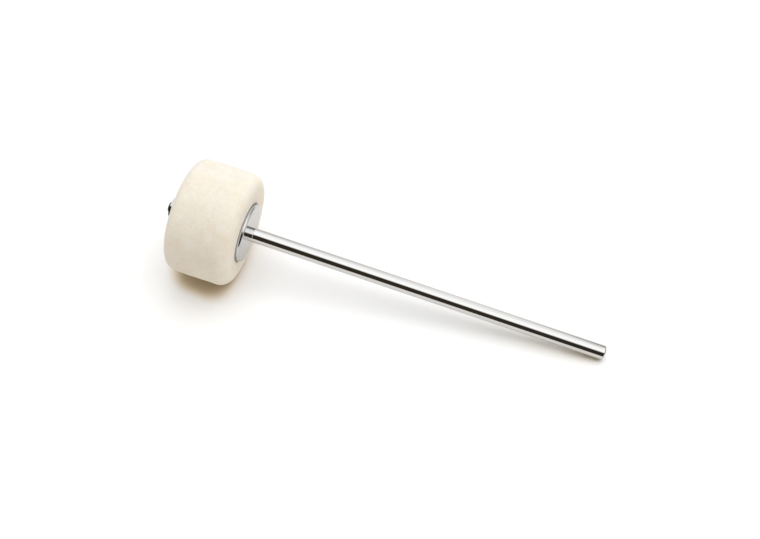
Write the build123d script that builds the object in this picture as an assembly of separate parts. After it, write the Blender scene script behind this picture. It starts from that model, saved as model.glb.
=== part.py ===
from build123d import *
import math
import os

# Felt-headed drum beater: a round felt head clamped on the stepped end of a plain round shaft.
#
# Millimetres. X is the shaft's axis and +Z is up. The origin is the centre of the shaft's free end, and the
# head lies towards -X. Along the axis from the free end come the shaft, its shoulder, the large washer, the
# felt, the wide nut-side washer, the split lock washer, the hexagon nut and the end of the stud.

# Shaft
shaft_diameter = 6.35
shaft_reach = 160.3  # free end to the shoulder that the large washer bears on
free_end_chamfer = 0.4
shoulder_step = 0.675  # how far the shoulder stands out from the stud all round
stud_end_length = 1.1  # the stud's length beyond the nut
stud_end_chamfer = 0.5

# Felt head
head_diameter = 51.2
head_width = 29.2
head_edge_radius = 5.2
head_edge_flats = 5  # each rounded edge is this many flats, so that the mesh of a soft piece stays light

# Large washer between the shoulder and the felt
washer_diameter = 26.0
washer_thickness = 2.2
washer_rim_radius = 1.0  # the rim is rounded on the side that shows
washer_seat_depth = 0.6  # how far it is pressed into the felt

# Nut-side stack
nut_washer_diameter = 15.0
nut_washer_thickness = 1.2
lock_washer_thickness = 1.2
lock_washer_wall = 1.9  # radial width of the ring's section
lock_washer_gap = 0.5  # width of the split when it is clamped flat
lock_washer_rake = 20.0  # degrees between the split and the axis
nut_across_flats = 8.0
nut_height = 4.5
nut_chamfer_angle = 30.0  # degrees between the chamfer and the end face
nut_mouth_depth = 0.4  # depth of the countersink at each end of the nut's bore

# Clearances, each all round
turning_clearance = 0.05  # the felt's bore turns on the stud
washer_clearance = 0.1  # washers slip over the stud
thread_clearance = 0.01  # the nut's bore on the stud
seat_clearance = 0.3  # between a washer's rim and the felt that it is pressed into

# Radii and places along the axis that follow from the sizes above
shaft_radius = shaft_diameter / 2
stud_radius = shaft_radius - shoulder_step
head_radius = head_diameter / 2
washer_radius = washer_diameter / 2
nut_washer_radius = nut_washer_diameter / 2
washer_hole_radius = stud_radius + washer_clearance

shoulder_x = -shaft_reach
front_seat_x = shoulder_x - washer_thickness
head_front_x = front_seat_x + washer_seat_depth
head_back_x = head_front_x - head_width
back_seat_x = head_back_x + nut_washer_thickness
lock_washer_x = head_back_x
nut_x = lock_washer_x - lock_washer_thickness
nut_end_x = nut_x - nut_height
stud_end_x = nut_end_x - stud_end_length


def outline(*points):
    """A closed face in the XY plane from (x, radius) points."""
    return make_face(Polyline(*points, close=True))


def corner(face, x, radius):
    """The outline's corner nearest to a place on it."""
    return face.vertices().sort_by_distance((x, radius, 0))[0]


def turned(face):
    """The solid that an outline sweeps round the shaft's axis."""
    return revolve(face, axis=Axis.X)


def rounded_edge(start, end, heading):
    """Points along a quarter round that leaves start in the given heading and meets end."""
    arc = TangentArc(start, end, tangent=heading)
    places = [arc @ (step / head_edge_flats) for step in range(head_edge_flats + 1)]
    return [(place.X, place.Y) for place in places]


def washer(outer_radius, front_x, thickness):
    """The section of a flat washer on the stud whose front face is at front_x."""
    back_x = front_x - thickness
    return outline(
        (back_x, washer_hole_radius),
        (front_x, washer_hole_radius),
        (front_x, outer_radius),
        (back_x, outer_radius),
    )


def make_shaft():
    """The plain rod and its turned-down stud, chamfered at both ends."""
    face = outline(
        (stud_end_x, 0),
        (0, 0),
        (0, shaft_radius),
        (shoulder_x, shaft_radius),
        (shoulder_x, stud_radius),
        (stud_end_x, stud_radius),
    )
    face = chamfer(corner(face, 0, shaft_radius), free_end_chamfer)
    face = chamfer(corner(face, stud_end_x, stud_radius), stud_end_chamfer)
    return turned(face)


def make_shaft_washer():
    """The large washer, with its rim rounded over towards the shaft."""
    face = washer(washer_radius, shoulder_x, washer_thickness)
    face = fillet(corner(face, shoulder_x, washer_radius), washer_rim_radius)
    return turned(face)


def make_felt_head():
    """The felt cylinder: a bore, a seat pressed in each side and large rounded edges."""
    bore_radius = stud_radius + turning_clearance
    front_seat_radius = washer_radius + seat_clearance
    back_seat_radius = nut_washer_radius + seat_clearance
    face_radius = head_radius - head_edge_radius
    front_rim = (head_front_x - head_edge_radius, head_radius)
    back_rim = (head_back_x + head_edge_radius, head_radius)
    face = outline(
        (back_seat_x, bore_radius),
        (front_seat_x, bore_radius),
        (front_seat_x, front_seat_radius),
        (head_front_x, front_seat_radius),
        *rounded_edge((head_front_x, face_radius), front_rim, (0, 1)),
        *rounded_edge(back_rim, (head_back_x, face_radius), (-1, 0)),
        (head_back_x, back_seat_radius),
        (back_seat_x, back_seat_radius),
    )
    return turned(face)


def make_nut_washer():
    """The wide washer that spreads the nut's load over the felt, flush with its face."""
    return turned(washer(nut_washer_radius, back_seat_x, nut_washer_thickness))


def make_lock_washer():
    """The spring washer: a ring of square section, split by a raked slot and clamped flat."""
    outer_radius = washer_hole_radius + lock_washer_wall
    ring = turned(washer(outer_radius, lock_washer_x, lock_washer_thickness))
    slot_x = lock_washer_x - lock_washer_thickness / 2
    slot_length = 2 * lock_washer_thickness / math.cos(math.radians(lock_washer_rake))
    slot = Box(slot_length, lock_washer_gap, outer_radius, align=(Align.CENTER, Align.CENTER, Align.MIN))
    return ring - Pos(slot_x, 0, 0) * Rot(0, 0, lock_washer_rake) * slot


def make_hex_nut():
    """The nut: a hexagon whose corners are turned off at both ends, with a countersunk bore."""
    flat_radius = nut_across_flats / 2
    corner_radius = flat_radius / math.cos(math.radians(30))
    bore_radius = stud_radius + thread_clearance
    mouth_radius = bore_radius + nut_mouth_depth
    chamfer_height = (corner_radius - flat_radius) * math.tan(math.radians(nut_chamfer_angle))
    hexagon = Plane.YZ.offset(nut_end_x) * RegularPolygon(corner_radius, 6)
    prism = extrude(hexagon, nut_height)
    barrel = outline(
        (nut_end_x, mouth_radius),
        (nut_end_x, flat_radius),
        (nut_end_x + chamfer_height, corner_radius),
        (nut_x - chamfer_height, corner_radius),
        (nut_x, flat_radius),
        (nut_x, mouth_radius),
        (nut_x - nut_mouth_depth, bore_radius),
        (nut_end_x + nut_mouth_depth, bore_radius),
    )
    return prism & turned(barrel)


pieces = {
    "shaft": make_shaft(),
    "shaft_washer": make_shaft_washer(),
    "felt_head": make_felt_head(),
    "nut_washer": make_nut_washer(),
    "lock_washer": make_lock_washer(),
    "hex_nut": make_hex_nut(),
}

os.makedirs("parts", exist_ok=True)
for name, solid in pieces.items():
    solid.label = name
    export_step(solid, f"parts/{name}.step")
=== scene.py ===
"""Felt-headed drum beater on a pale studio table.

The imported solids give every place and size. The shaft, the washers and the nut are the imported
solids with finishes of their own. The felt head is modelled here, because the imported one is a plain
stand-in.
"""

import logging
import math
from dataclasses import dataclass, field
from enum import Enum

import bmesh
import bpy
from mathutils import Matrix, Vector, noise


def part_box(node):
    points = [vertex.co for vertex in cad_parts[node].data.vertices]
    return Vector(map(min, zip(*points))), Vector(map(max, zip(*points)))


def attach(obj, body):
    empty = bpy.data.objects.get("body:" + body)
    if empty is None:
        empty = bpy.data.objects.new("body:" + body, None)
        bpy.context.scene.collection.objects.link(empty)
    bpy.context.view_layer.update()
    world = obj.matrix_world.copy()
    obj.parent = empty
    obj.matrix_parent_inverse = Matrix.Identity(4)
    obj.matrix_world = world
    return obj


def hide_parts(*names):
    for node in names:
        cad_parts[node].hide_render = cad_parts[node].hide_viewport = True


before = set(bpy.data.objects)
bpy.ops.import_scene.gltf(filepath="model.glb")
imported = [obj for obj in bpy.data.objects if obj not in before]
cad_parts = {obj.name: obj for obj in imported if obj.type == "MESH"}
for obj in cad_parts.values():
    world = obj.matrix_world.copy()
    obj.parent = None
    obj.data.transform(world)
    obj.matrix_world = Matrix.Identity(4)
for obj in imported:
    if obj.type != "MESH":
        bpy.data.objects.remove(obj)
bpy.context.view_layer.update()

log = logging.getLogger("drum_beater")

MM = 0.001
FELT_EDGE = 5.2 * MM  # the radius of the felt's rounded edges
Colour = tuple[float, float, float]
Triple = tuple[float, float, float]
Span = tuple[float, float]
Socket = bpy.types.NodeSocket

WHITE: Colour = (1.0, 1.0, 1.0)
BLACK: Colour = (0.0, 0.0, 0.0)
FULL_TURN: Span = (-180.0, 180.0)  # degrees
AWAY = Vector((0.0, 1.0, 0.0))  # from the viewer's side to the far side


class Body(Enum):
    """The bodies that modelled pieces ride on."""

    HEAD = "head"


class Slot(Enum):
    """The material slots of the record."""

    FELT = "felt"


def rgba(colour: Colour) -> tuple[float, float, float, float]:
    """A colour with full opacity."""
    return (*colour, 1.0)


class NodeBench:
    """Lays out the nodes of one tree and links them."""

    def __init__(self, tree: bpy.types.NodeTree) -> None:
        """Starts on an empty tree.

        Args:
            tree: The node tree to fill.
        """
        self.tree = tree
        tree.nodes.clear()

    def add(self, kind: str, inputs: dict | None = None, **settings: object) -> bpy.types.Node:
        """Adds a node.

        Args:
            kind: The node's type without its ShaderNode prefix, or a whole type name.
            inputs: Values or output sockets by input name or index.
            settings: Properties to set on the node.

        Returns:
            The new node.
        """
        full = kind if kind.startswith(("ShaderNode", "NodeGroup")) else "ShaderNode" + kind
        node = self.tree.nodes.new(full)
        for name, value in settings.items():
            setattr(node, name, value)
        for key, value in (inputs or {}).items():
            self.feed(node.inputs[key], value)
        return node

    def feed(self, socket: Socket, value: object) -> None:
        """Links a socket to an output, or sets its value."""
        if isinstance(value, Socket):
            self.tree.links.new(value, socket)
        else:
            socket.default_value = value

    def group(self, tree: bpy.types.NodeTree, inputs: dict | None = None) -> bpy.types.Node:
        """Places a shared effect."""
        node = self.tree.nodes.new("ShaderNodeGroup")
        node.node_tree = tree
        for key, value in (inputs or {}).items():
            self.feed(node.inputs[key], value)
        return node

    def math(self, operation: str, a: object, b: object = 0.0, clamp: bool = False) -> Socket:
        """The result of a sum on two values or sockets."""
        return self.add("Math", {0: a, 1: b}, operation=operation, use_clamp=clamp).outputs[0]

    def dot(self, vector: Socket, axis: Vector) -> Socket:
        """How far a vector reaches along an axis."""
        node = self.add("VectorMath", {0: vector, 1: tuple(axis)}, operation="DOT_PRODUCT")
        return node.outputs["Value"]

    def ramp(
        self, value: object, start: float, end: float, low: float = 0.0, high: float = 1.0
    ) -> Socket:
        """A smooth step from low at start to high at end."""
        inputs = {"Value": value, "From Min": start, "From Max": end, "To Min": low, "To Max": high}
        return self.add("MapRange", inputs, interpolation_type="SMOOTHSTEP").outputs["Result"]

    def stops(self, value: Socket, span: Span, levels: dict[float, float | Colour]) -> Socket:
        """A curve through levels at places of a value.

        Args:
            value: The number that the curve is read at.
            span: The places of the curve's two ends.
            levels: The curve's height, 0 to 1, or its colour, by place.

        Returns:
            The curve's height or colour at the value.
        """
        inputs = {"Value": value, "From Min": span[0], "From Max": span[1]}
        node = self.add("ValToRGB", {"Fac": self.add("MapRange", inputs).outputs["Result"]})
        ramp = node.color_ramp
        ramp.interpolation = "LINEAR"
        places = sorted(levels)
        while len(ramp.elements) < len(places):
            ramp.elements.new(0.5)
        for element, place in zip(ramp.elements, places):
            element.position = (place - span[0]) / (span[1] - span[0])
            level = levels[place]
            element.color = rgba(level if isinstance(level, tuple) else (level, level, level))
        return node.outputs["Color"]

    def mix(self, share: object, a: object, b: object) -> Socket:
        """Two numbers mixed by a share."""
        return self.add("Mix", {0: share, 2: a, 3: b}, data_type="FLOAT").outputs[0]

    def blend(self, share: object, a: object, b: object, mode: str = "MIX") -> Socket:
        """Two colours mixed by a share."""
        node = self.add("Mix", {0: share}, data_type="RGBA", blend_type=mode)
        self.feed(node.inputs[6], a)
        self.feed(node.inputs[7], b)
        return node.outputs[2]

    def noise(
        self, vector: Socket, scale: float, detail: float = 2.0, rough: float = 0.5
    ) -> Socket:
        """The value of a noise pattern, near 0 to 1."""
        inputs = {"Vector": vector, "Scale": scale, "Detail": detail, "Roughness": rough}
        return self.add("TexNoise", inputs).outputs["Fac"]

    def stretched(self, vector: Socket, scale: Triple) -> Socket:
        """Coordinates stretched along the axes."""
        return self.add("Mapping", {"Vector": vector, "Scale": scale}).outputs[0]


def new_group(
    name: str, inputs: dict[str, float], outputs: tuple[str, ...]
) -> tuple[bpy.types.NodeTree, NodeBench]:
    """Starts a shared effect that reads Object coordinates.

    Args:
        name: The group's name.
        inputs: Number inputs with their usual values.
        outputs: Number outputs.

    Returns:
        The group's tree and the bench that fills it.
    """
    tree = bpy.data.node_groups.new(name, "ShaderNodeTree")
    tree.interface.new_socket("Position", in_out="INPUT", socket_type="NodeSocketVector")
    for label, value in inputs.items():
        socket = tree.interface.new_socket(label, in_out="INPUT", socket_type="NodeSocketFloat")
        socket.default_value = value
    for label in outputs:
        tree.interface.new_socket(label, in_out="OUTPUT", socket_type="NodeSocketFloat")
    return tree, NodeBench(tree)


@dataclass(frozen=True)
class PolishMarks:
    """The fine lines that polishing leaves round a turned piece, and faint smears of handling."""

    name: str = "polish_marks"
    fineness: float = 9000.0
    smear_scale: float = 90.0
    smear_edge: Span = (0.5, 0.72)

    def build(self) -> bpy.types.NodeTree:
        """Builds the effect, or finds it if it was built before.

        Returns:
            A group with outputs Lines and Smears, each 0 to 1.
        """
        if self.name in bpy.data.node_groups:
            return bpy.data.node_groups[self.name]
        tree, bench = new_group(self.name, {"Fineness": self.fineness}, ("Lines", "Smears"))
        source = bench.add("NodeGroupInput")
        parts = bench.add("SeparateXYZ", {0: source.outputs["Position"]})
        along = bench.add("CombineXYZ", {0: parts.outputs["X"]}).outputs[0]
        lines = bench.add("TexNoise", {"Vector": along, "Detail": 3.0, "Roughness": 0.7})
        bench.feed(lines.inputs["Scale"], source.outputs["Fineness"])
        smears = bench.noise(source.outputs["Position"], self.smear_scale, detail=4.0, rough=0.6)
        sink = bench.add("NodeGroupOutput")
        bench.feed(sink.inputs["Lines"], lines.outputs["Fac"])
        bench.feed(sink.inputs["Smears"], bench.ramp(smears, *self.smear_edge))
        return tree


@dataclass(frozen=True)
class Thread:
    """A screw thread cut round the X axis, for the end of the stud."""

    pitch: float
    name: str = "stud_thread"

    def build(self) -> bpy.types.NodeTree:
        """Builds the effect.

        Returns:
            A group with the output Height, 0 at the roots and 1 at the crests.
        """
        tree, bench = new_group(self.name, {}, ("Height",))
        source = bench.add("NodeGroupInput")
        parts = bench.add("SeparateXYZ", {0: source.outputs["Position"]})
        angle = bench.math("ARCTAN2", parts.outputs["Z"], parts.outputs["Y"])
        turn = bench.math("DIVIDE", angle, math.tau)
        travel = bench.math("DIVIDE", parts.outputs["X"], self.pitch)
        wave = bench.math("PINGPONG", bench.math("ADD", travel, turn), 0.5)
        sink = bench.add("NodeGroupOutput")
        bench.feed(sink.inputs["Height"], bench.math("MULTIPLY", wave, 2.0))
        return tree


@dataclass(frozen=True)
class MetalFinish:
    """A plated metal: chrome or zinc."""

    name: str
    colour: Colour
    shade: Colour
    roughness: float
    smear_roughness: float
    line_depth: float
    edge_radius: float
    edge_samples: int = 6
    cloud_scale: float = 160.0
    groove_share: float = 0.6  # of the thread's pitch
    thread: Thread | None = None
    thread_span: Span = (0.0, 0.0)

    def build(self) -> bpy.types.Material:
        """Builds the metal.

        Returns:
            The material.
        """
        material = bpy.data.materials.new(self.name)
        material.use_nodes = True
        bench = NodeBench(material.node_tree)
        position = bench.add("TexCoord").outputs["Object"]
        marks = bench.group(PolishMarks().build(), {"Position": position})
        cloud = bench.noise(position, self.cloud_scale, detail=3.0)
        colour = bench.blend(cloud, rgba(self.colour), rgba(self.shade))
        rough = bench.math("MULTIPLY", marks.outputs["Smears"], self.smear_roughness)
        rough = bench.math("ADD", rough, self.roughness)
        soft = bench.add("Bevel", {"Radius": self.edge_radius}, samples=self.edge_samples)
        bump = bench.add("Bump", {"Strength": 1.0, "Distance": self.line_depth})
        bench.feed(bump.inputs["Height"], marks.outputs["Lines"])
        bench.feed(bump.inputs["Normal"], soft.outputs[0])
        normal = bump.outputs[0]
        if self.thread:
            along = bench.add("SeparateXYZ", {0: position}).outputs["X"]
            past_end = bench.math("GREATER_THAN", along, self.thread_span[0])
            before_stack = bench.math("LESS_THAN", along, self.thread_span[1])
            cut = bench.math("MULTIPLY", past_end, before_stack)
            height = bench.group(self.thread.build(), {"Position": position}).outputs["Height"]
            depth = self.thread.pitch * self.groove_share
            grooves = bench.add("Bump", {"Strength": 1.0, "Distance": depth})
            bench.feed(grooves.inputs["Height"], bench.math("MULTIPLY", height, cut))
            bench.feed(grooves.inputs["Normal"], normal)
            normal = grooves.outputs[0]
        settings = {"Base Color": colour, "Metallic": 1.0, "Roughness": rough, "Normal": normal}
        shader = bench.add("BsdfPrincipled", settings)
        bench.add("OutputMaterial", {"Surface": shader.outputs[0]})
        return material


@dataclass(frozen=True)
class FeltFinish:
    """Pressed wool felt: cream with cloudy patches, fine fibres and a painted shade in the recess
    round the front washer.
    """

    name: str = "wool_felt"
    pale: Colour = (0.89, 0.84, 0.742)
    cream: Colour = (0.855, 0.788, 0.67)
    tan: Colour = (0.72, 0.61, 0.46)
    # pressed: the colour of the painted shade in the recess round the front washer
    pressed: Colour = (0.42, 0.33, 0.22)
    patch_scale: float = 140.0
    patch_edge: Span = (0.35, 0.7)
    tangle_scale: float = 500.0
    tangle_reach: float = 1.2 * MM
    cloud_scale: float = 520.0
    speck_edge: Span = (0.5, 0.75)
    speck_share: float = 0.25
    fibre_scale: float = 2600.0
    round_stretch: Triple = (1.0, 0.3, 0.3)
    along_stretch: Triple = (0.25, 1.0, 1.0)
    gap_edge: Span = (0.42, 0.56)
    gap_share: float = 0.19
    seat_shade_edge: Span = (0.3 * MM, 1.1 * MM)
    seat_shade_share: float = 0.85
    cloud_height: float = 0.7
    fibre_height: float = 0.9
    bump_strength: float = 0.7
    bump_depth: float = 0.4 * MM
    roughness: float = 0.95
    specular: float = 0.15
    sheen: float = 0.4
    sheen_roughness: float = 0.6
    glow: float = 0.6
    glow_reach: float = 5.0 * MM
    glow_spread: Triple = (1.0, 0.8, 0.55)

    def build(self, seat: float, middle: float) -> bpy.types.Material:
        """Builds the felt.

        Args:
            seat: The radius of the front washer's seat, just outside which the felt gets a painted
                shade.
            middle: The place along X that parts the front half from the back half.

        Returns:
            The material.
        """
        material = bpy.data.materials.new(self.name)
        material.use_nodes = True
        bench = NodeBench(material.node_tree)
        position = bench.add("TexCoord").outputs["Object"]
        tangled = self.tangled(bench, position)
        patches = bench.noise(position, self.patch_scale, detail=3.0, rough=0.55)
        clouds = bench.noise(tangled, self.cloud_scale, detail=4.0, rough=0.6)
        fibres_round = self.fibres(bench, tangled, self.round_stretch)
        fibres_along = self.fibres(bench, tangled, self.along_stretch)
        fibres = bench.math("MAXIMUM", fibres_round, fibres_along)
        creamy = bench.ramp(patches, *self.patch_edge)
        colour = bench.blend(creamy, rgba(self.pale), rgba(self.cream))
        specks = bench.math("MULTIPLY", bench.ramp(clouds, *self.speck_edge), self.speck_share)
        colour = bench.blend(specks, colour, rgba(self.tan))
        gaps = bench.ramp(fibres, *self.gap_edge, 1.0, 0.0)
        colour = bench.blend(bench.math("MULTIPLY", gaps, self.gap_share), colour, rgba(self.tan))
        # painted shade: the felt darkened to brown in the recess round the front washer
        seat_shade = self.seat_shade_mask(bench, position, seat, middle)
        colour = bench.blend(seat_shade, colour, rgba(self.pressed))
        cloud_part = bench.math("MULTIPLY", clouds, self.cloud_height)
        height = bench.math("ADD", cloud_part, bench.math("MULTIPLY", fibres, self.fibre_height))
        bump = bench.add("Bump", {"Strength": self.bump_strength, "Distance": self.bump_depth})
        bench.feed(bump.inputs["Height"], height)
        settings = {
            "Base Color": colour,
            "Roughness": self.roughness,
            "Specular IOR Level": self.specular,
            "Sheen Weight": self.sheen,
            "Sheen Roughness": self.sheen_roughness,
            "Subsurface Weight": self.glow,
            "Subsurface Radius": self.glow_spread,
            "Subsurface Scale": self.glow_reach,
            "Normal": bump.outputs[0],
        }
        shader = bench.add("BsdfPrincipled", settings)
        bench.add("OutputMaterial", {"Surface": shader.outputs[0]})
        return material

    def tangled(self, bench: NodeBench, position: Socket) -> Socket:
        """Coordinates bent a little in every direction, as fibres are."""
        inputs = {"Vector": position, "Scale": self.tangle_scale, "Detail": 2.0}
        bend = bench.add("TexNoise", inputs).outputs["Color"]
        shift = bench.add("VectorMath", {0: bend, 3: self.tangle_reach}, operation="SCALE")
        inputs = {0: position, 1: shift.outputs[0]}
        return bench.add("VectorMath", inputs, operation="ADD").outputs[0]

    def fibres(self, bench: NodeBench, tangled: Socket, stretch: Triple) -> Socket:
        """Fine fibres that run one way."""
        drawn_out = bench.stretched(tangled, stretch)
        return bench.noise(drawn_out, self.fibre_scale, detail=3.0, rough=0.6)

    def seat_shade_mask(self, bench: NodeBench, position: Socket, seat: float, middle: float) -> Socket:
        """How strong the painted shade in the recess round the front washer is, 0 to 1."""
        parts = bench.add("SeparateXYZ", {0: position})
        flat = bench.add("CombineXYZ", {1: parts.outputs["Y"], 2: parts.outputs["Z"]}).outputs[0]
        radius = bench.add("VectorMath", {0: flat}, operation="LENGTH").outputs["Value"]
        start, end = (seat + reach for reach in self.seat_shade_edge)
        near_seat = bench.ramp(radius, start, end, self.seat_shade_share, 0.0)
        in_front = bench.math("GREATER_THAN", parts.outputs["X"], middle)
        return bench.math("MULTIPLY", near_seat, in_front)


def new_piece(name: str, bm: bmesh.types.BMesh, material: bpy.types.Material) -> bpy.types.Object:
    """Turns a finished bmesh into a piece at the origin.

    Args:
        name: The piece's name.
        bm: The shape, in metres. It is freed.
        material: Its finish.

    Returns:
        The new object.
    """
    mesh = bpy.data.meshes.new(name)
    bm.to_mesh(mesh)
    bm.free()
    mesh.materials.append(material)
    mesh.shade_smooth()
    piece = bpy.data.objects.new(name, mesh)
    bpy.context.scene.collection.objects.link(piece)
    return piece


def dress(node: str, material: bpy.types.Material) -> None:
    """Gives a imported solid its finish."""
    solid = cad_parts[node]
    if not solid.material_slots:
        solid.data.materials.append(material)
    for slot in solid.material_slots:
        slot.material = material
    log.info("%s: %s", node, material.name)


@dataclass
class FeltHead:
    """The pressed felt cylinder, drawn in a little where the washers press on it."""

    front: float
    back: float
    radius: float
    washer_radius: float
    washer_back: float
    nut_washer_radius: float
    nut_washer_front: float
    stud_radius: float = 2.5 * MM
    edge: float = FELT_EDGE
    lip: float = 0.7 * MM
    clearance: float = 0.15 * MM
    dish_depth: float = 0.12 * MM
    dish_reach: float = 3.0 * MM
    face_reach: float = 2.0 * MM
    swell: float = 0.16 * MM
    swell_scale: float = 55.0
    ripple: float = 0.06 * MM
    ripple_scale: float = 260.0
    divided_from: float = 3.0 * MM  # the radius past which long edges of the section are divided
    longest_edge: float = 2.0 * MM
    face_length: float = 1.1 * MM
    edge_segments: int = 10
    lip_segments: int = 4
    steps: int = 180
    finish: FeltFinish = field(default_factory=FeltFinish)

    @classmethod
    def from_frame(cls) -> "FeltHead":
        """Reads the head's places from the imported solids."""
        low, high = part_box("felt_head")
        washer_low, washer_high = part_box("shaft_washer")
        nut_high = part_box("nut_washer")[1]
        return cls(
            front=high.x,
            back=low.x,
            radius=high.z,
            washer_radius=washer_high.z,
            washer_back=washer_low.x,
            nut_washer_radius=nut_high.z,
            nut_washer_front=nut_high.x,
        )

    @property
    def bore(self) -> float:
        """The radius of the hole for the stud."""
        return self.stud_radius + self.clearance

    def profile(self) -> list[tuple[float, float]]:
        """The section's corners as (x, radius), from the bore round the outside and back."""
        front_seat = self.washer_radius + self.clearance
        back_seat = self.nut_washer_radius + self.clearance
        seat_x = self.washer_back - self.clearance
        back_seat_x = self.nut_washer_front + self.clearance
        return [
            (back_seat_x, self.bore),
            (seat_x, self.bore),
            (seat_x, front_seat),
            (self.front, front_seat),
            (self.front, self.radius),
            (self.back, self.radius),
            (self.back, back_seat),
            (back_seat_x, back_seat),
        ]

    def build(self) -> bpy.types.Object:
        """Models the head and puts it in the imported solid's place.

        Returns:
            The felt piece.
        """
        bm = bmesh.new()
        corners = [bm.verts.new((x, 0.0, r)) for x, r in self.profile()]
        bm.faces.new(corners)
        self.round_corner(bm, [corners[4], corners[5]], self.edge, self.edge_segments)
        self.round_corner(bm, [corners[3], corners[6]], self.lip, self.lip_segments)
        bmesh.ops.delete(bm, geom=list(bm.faces), context="FACES_ONLY")
        outside = [e for e in bm.edges if min(v.co.z for v in e.verts) > self.divided_from]
        for edge in [e for e in outside if e.calc_length() > self.longest_edge]:
            cuts = int(edge.calc_length() / self.face_length)
            bmesh.ops.subdivide_edges(bm, edges=[edge], cuts=cuts)
        section = list(bm.verts) + list(bm.edges)
        bmesh.ops.spin(
            bm,
            geom=section,
            cent=(0.0, 0.0, 0.0),
            axis=(1.0, 0.0, 0.0),
            angle=math.tau,
            steps=self.steps,
            use_merge=True,
            use_duplicate=False,
        )
        bmesh.ops.remove_doubles(bm, verts=bm.verts, dist=1e-7)
        bmesh.ops.recalc_face_normals(bm, faces=bm.faces)
        for vertex in bm.verts:
            vertex.co = self.pressed(vertex.co)
        middle = (self.front + self.back) / 2.0
        finish = self.finish.build(self.washer_radius + self.clearance, middle)
        piece = new_piece("felt_cylinder", bm, finish)
        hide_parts("felt_head")
        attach(piece, Body.HEAD.value)
        log.info("felt_cylinder: %d faces", len(piece.data.polygons))
        return piece

    @staticmethod
    def round_corner(
        bm: bmesh.types.BMesh, verts: list[bmesh.types.BMVert], radius: float, segments: int
    ) -> None:
        """Rounds corners of the section."""
        bmesh.ops.bevel(
            bm,
            geom=verts,
            offset=radius,
            offset_type="OFFSET",
            affect="VERTICES",
            segments=segments,
            profile=0.5,
            material=-1,
        )

    def pressed(self, point: Vector) -> Vector:
        """Where a point of the plain shape lies on the real felt.

        Args:
            point: A point on the turned shape.

        Returns:
            The point drawn in by the washers and uneven by a tenth of a millimetre or so.
        """
        radius = math.hypot(point.y, point.z)
        if radius < self.nut_washer_radius:
            return point
        moved = point.copy()
        near_front = max(0.0, 1.0 - abs(point.x - self.front) / self.face_reach)
        near_back = max(0.0, 1.0 - abs(point.x - self.back) / self.face_reach)
        pull = self.draw_in(radius, self.washer_radius) * near_front
        push = self.draw_in(radius, self.nut_washer_radius) * near_back
        moved.x += push - pull
        if radius > self.washer_radius + self.face_reach:
            wave = noise.noise(point * self.swell_scale) * self.swell
            wave += noise.noise(point * self.ripple_scale) * self.ripple
            outward = Vector((0.0, point.y, point.z)).normalized()
            moved += outward * (wave - self.swell / 2.0)
        return moved

    def draw_in(self, radius: float, seat: float) -> float:
        """How far a face is drawn in at a radius, by a washer of the given radius."""
        share = min(1.0, max(0.0, (radius - seat) / self.dish_reach))
        return self.dish_depth * (1.0 - share * share * (3.0 - 2.0 * share))


@dataclass
class Hardware:
    """The shaft and the clamp stack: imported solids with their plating."""

    thread_pitch: float = 0.8 * MM
    bare_end: float = 0.1 * MM  # the part of the stud's end that the thread leaves plain
    chrome: Colour = (0.785, 0.785, 0.775)
    chrome_shade: Colour = (0.75, 0.75, 0.74)
    washer: Colour = (0.70, 0.708, 0.735)
    washer_shade: Colour = (0.675, 0.683, 0.71)
    zinc: Colour = (0.72, 0.72, 0.71)
    zinc_shade: Colour = (0.62, 0.62, 0.615)

    def build(self) -> None:
        """Dresses the shaft, the washers and the nut."""
        thread_span = (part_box("shaft")[0].x + self.bare_end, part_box("shaft_washer")[0].x)
        shaft = MetalFinish(
            name="shaft_chrome",
            colour=self.chrome,
            shade=self.chrome_shade,
            roughness=0.05,
            smear_roughness=0.04,
            line_depth=0.0004 * MM,
            edge_radius=0.1 * MM,
            thread=Thread(self.thread_pitch),
            thread_span=thread_span,
        )
        washer = MetalFinish(
            name="washer_chrome",
            colour=self.washer,
            shade=self.washer_shade,
            roughness=0.13,
            smear_roughness=0.05,
            line_depth=0.0006 * MM,
            edge_radius=0.3 * MM,
        )
        zinc = MetalFinish(
            name="zinc_plate",
            colour=self.zinc,
            shade=self.zinc_shade,
            roughness=0.14,
            smear_roughness=0.12,
            line_depth=0.002 * MM,
            edge_radius=0.2 * MM,
        )
        dress("shaft", shaft.build())
        dress("shaft_washer", washer.build())
        plate = zinc.build()
        for node in ("nut_washer", "lock_washer", "hex_nut"):
            dress(node, plate)


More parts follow.
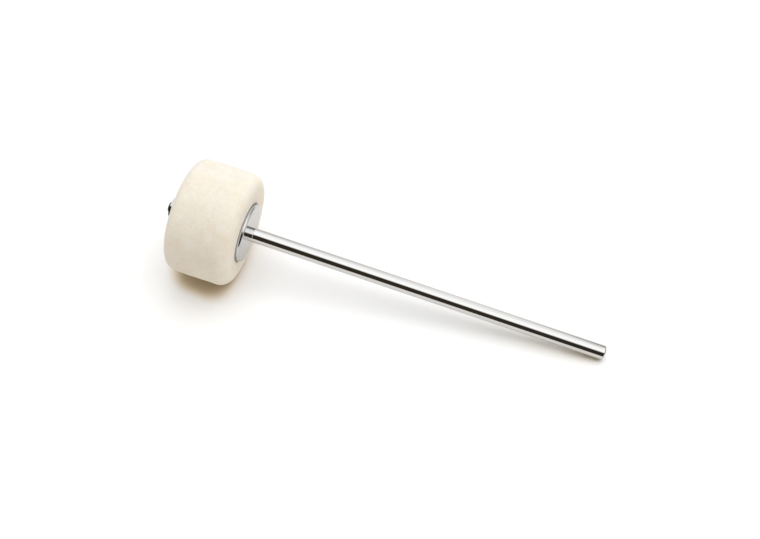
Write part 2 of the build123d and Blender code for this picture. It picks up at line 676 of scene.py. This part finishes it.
@dataclass
class Studio:
    """The table that the beater rests on, the light, what the metal mirrors, and the camera."""

    tilt: float = 0.0
    tip_height: float = 0.0
    edge: float = FELT_EDGE

    azimuth: float = math.radians(17.46)
    elevation: float = math.radians(53.18)
    distance: float = 0.45004
    aim: Vector = field(default_factory=lambda: Vector((-0.10135, 0.0, 0.00572)))
    lens: float = 50.0
    sensor: float = 36.0

    key_level: float = 0.42
    key_height: float = 1.2
    key_angle: float = math.radians(56.0)
    key_lean: tuple[float, float] = (0.08, 0.12)  # along the shaft and away, per unit up

    table_radius: float = 0.42
    table_fade: Span = (0.3, 0.41)
    table_segments: int = 96
    table_shift: tuple[float, float] = (-0.12, 0.14)  # along the shaft and away
    table_roughness: float = 0.9
    table_bounce: Colour = (0.86, 0.79, 0.69)
    table_mirrored: Colour = (0.785, 0.765, 0.735)
    contact_lean: tuple[float, float] = (0.8, 0.5)  # along the shaft and away, per unit up
    contact_reach: float = 12.0 * MM
    contact_samples: int = 16
    contact_fade: float = 60.0 * MM
    # painted contact shadow on the table: colours by ambient occlusion, under the felt and under the
    # shaft
    contact_shades: dict[float, Colour] = field(
        default_factory=lambda: {
            0.4: (0.48, 0.39, 0.26),
            0.5: (0.55, 0.45, 0.31),
            0.57: (0.69, 0.58, 0.41),
            0.655: (0.87, 0.77, 0.65),
            0.75: (0.97, 0.93, 0.89),
            0.85: WHITE,
        }
    )
    shaft_shades: dict[float, Colour] = field(
        default_factory=lambda: {
            0.3: (0.7, 0.62, 0.52),
            0.45: (0.9, 0.86, 0.78),
            0.6: (1.0, 0.97, 0.91),
            0.85: WHITE,
        }
    )

    # Where the mirrored table ends: at a slant on the viewer's side, past the tip and past the nut.
    floor_edge: Vector = field(default_factory=lambda: Vector((0.98, -1.0, 0.0)))
    floor_end: Span = (0.025, 0.04)
    floor_unlit: float = 0.9
    tip_shift: float = 0.018
    nut_shift: float = -0.175

    # The room, by the angle round the shaft in degrees: 0 faces the viewer, 90 is overhead and 180
    # the far side. Soft levels light the matt surfaces, and mirror levels show in the metal.
    room_tint: Colour = (1.0, 0.8, 0.55)
    tint_end: float = 0.6
    soft_levels: dict[float, float] = field(
        default_factory=lambda: {-176.0: 0.78, -164.0: 0.5, 46.0: 0.5, 64.0: 0.78}
    )
    side_share: float = 0.15
    room_skew: float = 21.0  # how far the room's edge turns with the direction along the shaft
    mirror_top: float = 1.25
    mirror_levels: dict[float, float] = field(
        default_factory=lambda: {
            -176.0: 0.6,
            -164.0: 0.025,
            52.0: 0.025,
            67.0: 0.96,
            76.0: 1.0,
            102.0: 1.0,
            130.0: 0.83,
            163.0: 0.8,
            172.0: 0.7,
        }
    )

    # The levels past the tip, low on the viewer's side, by how far a direction points along the
    # shaft.
    gap_levels: dict[float, float] = field(
        default_factory=lambda: {0.2: 0.2, 0.4: 0.2, 0.55: 1.0, 0.96: 1.0, 0.995: 0.15}
    )
    gap_along: Span = (0.05, 0.2)
    gap_high: Span = (0.31, 0.41)
    gap_near: Span = (0.05, 0.3)

    # How the far side is dimmed near the table, by how far a direction points along the shaft.
    back_levels: dict[float, float] = field(
        default_factory=lambda: {
            -0.3: 0.36,
            -0.2: 0.58,
            -0.1: 0.7,
            0.05: 1.0,
            0.19: 1.0,
            0.25: 0.15,
            0.4: 0.15,
            0.5: 0.4,
        }
    )
    back_angles: Span = (130.0, 155.0)
    far_level: float = 0.08
    far_along: Span = (-0.6, -0.85)

    def rest(self) -> None:
        """Works out how the beater lies, on its felt's rounded edge and on its shaft's tip."""
        head_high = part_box("felt_head")[1]
        shaft_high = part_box("shaft")[1]
        reach = shaft_high.x - (head_high.x - self.edge)
        drop = head_high.z - self.edge - shaft_high.z
        self.tilt = math.asin(self.edge / math.hypot(reach, drop)) + math.atan2(drop, reach)
        self.tip_height = -shaft_high.z
        log.info("the shaft slopes by %.2f degrees", math.degrees(self.tilt))

    @property
    def up(self) -> Vector:
        """The table's normal."""
        return Vector((-math.sin(self.tilt), 0.0, math.cos(self.tilt)))

    @property
    def along(self) -> Vector:
        """The direction on the table that the shaft points in."""
        return Vector((math.cos(self.tilt), 0.0, math.sin(self.tilt)))

    def leaned(self, lean: tuple[float, float]) -> Vector:
        """The table's normal, leaned along the shaft and away from the viewer."""
        return self.along * lean[0] + AWAY * lean[1] + self.up

    def build(self) -> None:
        """Sets up the table, the light, the surroundings and the camera."""
        self.rest()
        self.build_table()
        self.build_key()
        self.build_surroundings()
        self.build_camera()

    def build_table(self) -> None:
        """The pale table top, which fades out at its edges."""
        centre = Vector((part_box("shaft")[1].x, 0.0, self.tip_height))
        bm = bmesh.new()
        bmesh.ops.create_circle(bm, cap_ends=True, segments=self.table_segments, radius=1.0)
        turn = Matrix((self.along, AWAY, self.up)).transposed().to_4x4()
        size = Matrix.Diagonal((self.table_radius, self.table_radius, 1.0, 1.0))
        middle = centre + self.along * self.table_shift[0] + AWAY * self.table_shift[1]
        bmesh.ops.transform(bm, matrix=Matrix.Translation(middle) @ turn @ size, verts=bm.verts)
        table = new_piece("table", bm, self.table_material(middle))

    def table_material(self, middle: Vector) -> bpy.types.Material:
        """A matt white with painted contact shadow, see-through past its edge and from below.

        Args:
            middle: The table's middle.

        Returns:
            The material.
        """
        material = bpy.data.materials.new("pale_table")
        material.use_nodes = True
        bench = NodeBench(material.node_tree)
        position = bench.add("TexCoord").outputs["Object"]
        offset = bench.add("VectorMath", {0: position, 1: tuple(middle)}, operation="SUBTRACT")
        far = bench.add("VectorMath", {0: offset.outputs[0]}, operation="LENGTH").outputs["Value"]
        solid = bench.ramp(far, *self.table_fade, 1.0, 0.0)
        facing = bench.math("SUBTRACT", 1.0, bench.add("NewGeometry").outputs["Backfacing"])
        alpha = bench.math("MULTIPLY", solid, facing)
        along = bench.add("SeparateXYZ", {0: position}).outputs["X"]
        seen = self.shaded(bench, along)
        mirrored = bench.blend(1.0, seen, rgba(self.table_mirrored), "MULTIPLY")
        mirrored = bench.blend(self.unlit(bench, position, along), mirrored, rgba(BLACK))
        ray = bench.add("LightPath")
        bounced = bench.blend(ray.outputs["Is Glossy Ray"], rgba(self.table_bounce), mirrored)
        colour = bench.blend(ray.outputs["Is Camera Ray"], bounced, seen)
        settings = {
            "Base Color": colour,
            "Roughness": self.table_roughness,
            "Specular IOR Level": 0.0,
            "Alpha": alpha,
        }
        shader = bench.add("BsdfPrincipled", settings)
        bench.add("OutputMaterial", {"Surface": shader.outputs[0]})
        return material

    def shaded(self, bench: NodeBench, along: Socket) -> Socket:
        """The table's colour, with painted contact shadow where the felt and the shaft lie close over
        it.

        Args:
            bench: The table's bench.
            along: The place along the shaft.

        Returns:
            White, warmer and darker near the beater.
        """
        lean = self.leaned(self.contact_lean).normalized()
        towards = bench.add("CombineXYZ", dict(enumerate(lean))).outputs[0]
        settings = {"Distance": self.contact_reach, "Normal": towards}
        gap = bench.add("AmbientOcclusion", settings, samples=self.contact_samples)
        under_felt = bench.stops(gap.outputs["AO"], (0.0, 1.0), self.contact_shades)
        under_shaft = bench.stops(gap.outputs["AO"], (0.0, 1.0), self.shaft_shades)
        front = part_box("felt_head")[1].x
        near_felt = bench.ramp(along, front, front + self.contact_fade, 1.0, 0.0)
        return bench.blend(near_felt, under_shaft, under_felt)

    def unlit(self, bench: NodeBench, position: Socket, along: Socket) -> Socket:
        """How dark the mirrored table is past its edges, 0 to 1."""
        past_tip = bench.math("ADD", along, self.tip_shift)
        past_nut = bench.math("SUBTRACT", self.nut_shift, along)
        past_side = bench.dot(position, self.floor_edge)
        past_edge = bench.math("MAXIMUM", past_side, bench.math("MAXIMUM", past_tip, past_nut))
        return bench.ramp(past_edge, *self.floor_end, 0.0, self.floor_unlit)

    def build_key(self) -> None:
        """One large soft lamp over the beater, a little behind it and towards the tip."""
        lamp = bpy.data.lights.new("softbox", "AREA")
        lamp.shape = "DISK"
        lamp.size = 2.0 * self.key_height * math.tan(self.key_angle / 2.0)
        radiance = self.key_level / math.sin(self.key_angle / 2.0) ** 2
        lamp.energy = radiance * math.pi * math.pi * (lamp.size / 2.0) ** 2
        softbox = bpy.data.objects.new("softbox", lamp)
        softbox.visible_glossy = False
        bpy.context.scene.collection.objects.link(softbox)
        lean = self.leaned(self.key_lean)
        over = self.aim + lean.normalized() * self.key_height
        turn = lean.to_track_quat("Z", "Y").to_matrix().to_4x4()
        softbox.matrix_world = Matrix.Translation(over) @ turn

    def build_surroundings(self) -> None:
        """White round the beater, apart from the unlit room on the viewer's side."""
        world = bpy.data.worlds.new("studio")
        bpy.context.scene.world = world
        world.use_nodes = True
        bench = NodeBench(world.node_tree)
        ray = bench.add("LightPath")
        direction = bench.add("TexCoord").outputs["Generated"]
        near = bench.dot(direction, -AWAY)
        high = bench.dot(direction, self.up)
        along = bench.dot(direction, self.along)
        angle = bench.math("DEGREES", bench.math("ARCTAN2", high, near))
        side = bench.math("ADD", bench.math("MULTIPLY", along, self.side_share), 1.0)
        soft = bench.math("MULTIPLY", bench.stops(angle, FULL_TURN, self.soft_levels), side)
        mirrored = self.mirrored(bench, near, high, along, angle)
        glossy, through = ray.outputs["Is Glossy Ray"], ray.outputs["Is Transmission Ray"]
        level = bench.mix(bench.math("ADD", glossy, through, clamp=True), soft, mirrored)
        level = bench.mix(ray.outputs["Is Camera Ray"], level, 1.0)
        tint = bench.blend(bench.ramp(level, 0.0, self.tint_end), rgba(self.room_tint), rgba(WHITE))
        background = bench.add("Background", {"Color": tint, "Strength": level})
        bench.add("OutputWorld", {"Surface": background.outputs[0]})

    def mirrored(
        self,
        bench: NodeBench,
        near: Socket,
        high: Socket,
        along: Socket,
        angle: Socket,
    ) -> Socket:
        """How bright the surroundings are where the metal mirrors them.

        Args:
            bench: The world's bench.
            near: How far the direction points to the viewer's side.
            high: How far it points up from the table.
            along: How far it points along the shaft.
            angle: The direction's angle round the shaft, in degrees.

        Returns:
            The level.
        """
        angle = bench.math("ADD", angle, bench.math("MULTIPLY", along, self.room_skew))
        wall = bench.stops(angle, FULL_TURN, self.mirror_levels)
        gap = bench.stops(along, (-1.0, 1.0), self.gap_levels)
        past_tip = bench.ramp(along, *self.gap_along)
        low = bench.ramp(high, *self.gap_high, 1.0, 0.0)
        beside = bench.ramp(near, *self.gap_near, 1.0, 0.0)
        within = bench.math("MULTIPLY", bench.math("MULTIPLY", past_tip, low), beside)
        level = bench.mix(within, wall, gap)
        back = bench.stops(along, (-1.0, 1.0), self.back_levels)
        dim = bench.blend(bench.ramp(angle, *self.back_angles), rgba(WHITE), back)
        far = bench.ramp(along, *self.far_along, self.mirror_top, self.mirror_top * self.far_level)
        return bench.math("MULTIPLY", bench.math("MULTIPLY", level, far), dim)

    def build_camera(self) -> None:
        """The camera, which looks down at the beater from the side."""
        data = bpy.data.cameras.new("camera")
        data.lens = self.lens
        data.sensor_width = self.sensor
        camera = bpy.data.objects.new("camera", data)
        bpy.context.scene.collection.objects.link(camera)
        flat = Vector((-math.sin(self.azimuth), math.cos(self.azimuth)))
        level = self.along * flat.x + AWAY * flat.y
        forward = level * math.cos(self.elevation) - self.up * math.sin(self.elevation)
        right = forward.cross(self.up).normalized()
        top = right.cross(forward)
        turn = Matrix((right, top, -forward)).transposed().to_4x4()
        camera.matrix_world = Matrix.Translation(self.aim - forward * self.distance) @ turn
        bpy.context.scene.camera = camera


def main() -> None:
    """Builds the beater and its studio."""
    logging.basicConfig(level=logging.INFO, format="%(name)s %(message)s")
    bpy.context.scene.view_settings.view_transform = "Standard"
    FeltHead.from_frame().build()
    Hardware().build()
    Studio().build()


if __name__ == "__main__":
    main()
